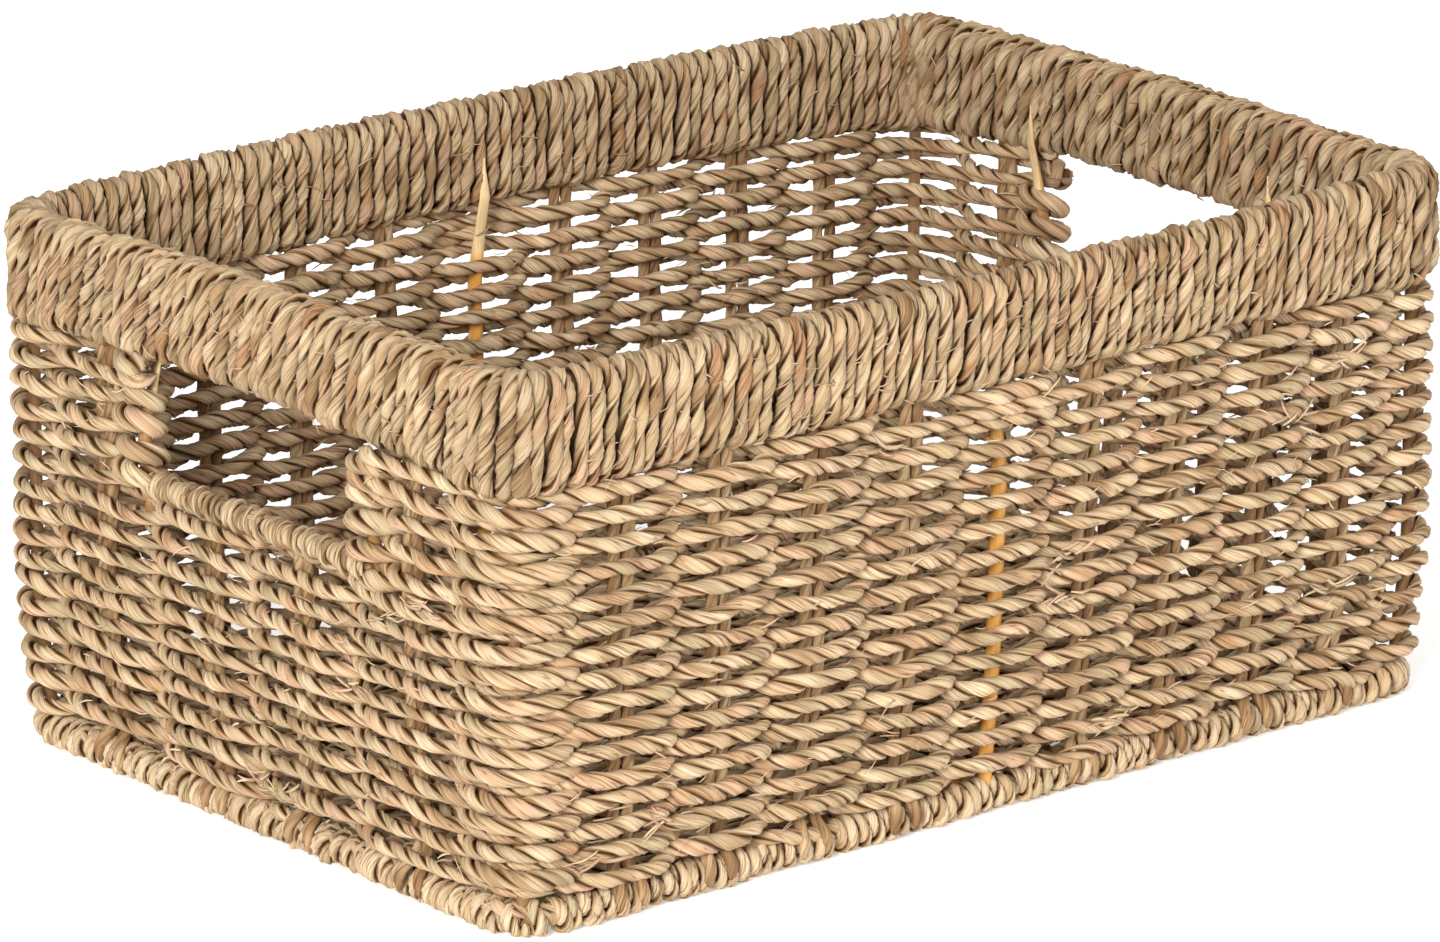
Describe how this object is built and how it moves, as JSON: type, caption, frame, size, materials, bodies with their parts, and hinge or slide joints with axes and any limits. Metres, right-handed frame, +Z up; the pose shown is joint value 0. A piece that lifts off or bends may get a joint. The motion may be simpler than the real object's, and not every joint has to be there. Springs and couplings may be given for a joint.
{
  "type": "seagrass storage basket",
  "caption": "Open rectangular storage basket woven from twisted seagrass cord on a rattan frame, with a tall wrapped rim and a wrapped handle opening in each short side.",
  "frame": {"origin": "centre of the footprint, on the plane the basket stands on", "axes": "+X along the long side, +Y along the short side, +Z up"},
  "size_m": [0.393, 0.272, 0.18],
  "materials": {
    "rattan": "satin, natural cane skin",
    "seagrass_wrap": "matte, dried grass blades",
    "seagrass_strand": "matte, dried grass blades",
    "seagrass_cord": "matte, dried grass blades"
  },
  "bodies": {
    "root": {"base_rod": "rattan", "rim_top_rod": "rattan", "rim_bottom_rod": "rattan", "corner_post_front_left": "rattan", "corner_post_front_right": "rattan", "corner_post_back_left": "rattan", "corner_post_back_right": "rattan", "mid_stake_front": "rattan", "mid_stake_back": "rattan", "handle_stake_right_front": "rattan", "handle_stake_right_back": "rattan", "handle_stake_left_back": "rattan", "handle_stake_left_front": "rattan", "handle_rod_left": "rattan", "handle_rod_right": "rattan", "floor_rod": "rattan", "rim_wrap": "seagrass_wrap", "base_wrap": "seagrass_wrap", "handle_wrap_left": "seagrass_wrap", "handle_wrap_right": "seagrass_wrap", "warp_strands_front": "seagrass_strand", "warp_strands_back": "seagrass_strand", "warp_strands_left": "seagrass_strand", "warp_strands_right": "seagrass_strand", "floor_strands": "seagrass_strand", "weft_course_01": "seagrass_cord", "weft_course_02": "seagrass_cord", "weft_course_03": "seagrass_cord", "weft_course_04": "seagrass_cord", "weft_course_05": "seagrass_cord", "weft_course_06": "seagrass_cord", "weft_course_07": "seagrass_cord", "weft_course_08": "seagrass_cord", "weft_course_09": "seagrass_cord", "weft_course_10": "seagrass_cord", "weft_course_11": "seagrass_cord", "weft_course_12": "seagrass_cord", "weft_course_13": "seagrass_cord", "weft_course_14": "seagrass_cord", "weft_course_15": "seagrass_cord", "weft_course_16": "seagrass_cord", "weft_course_17": "seagrass_cord", "weft_course_18": "seagrass_cord", "weft_course_19": "seagrass_cord", "weft_course_20": "seagrass_cord", "weft_course_21": "seagrass_cord", "weft_course_22": "seagrass_cord", "weft_course_23": "seagrass_cord", "weft_course_24": "seagrass_cord", "weft_course_25": "seagrass_cord", "weft_course_26": "seagrass_cord", "weft_course_27": "seagrass_cord", "weft_course_28": "seagrass_cord", "weft_course_29": "seagrass_cord", "weft_course_30": "seagrass_cord", "floor_courses": "seagrass_cord"}
  },
  "joints": []
}
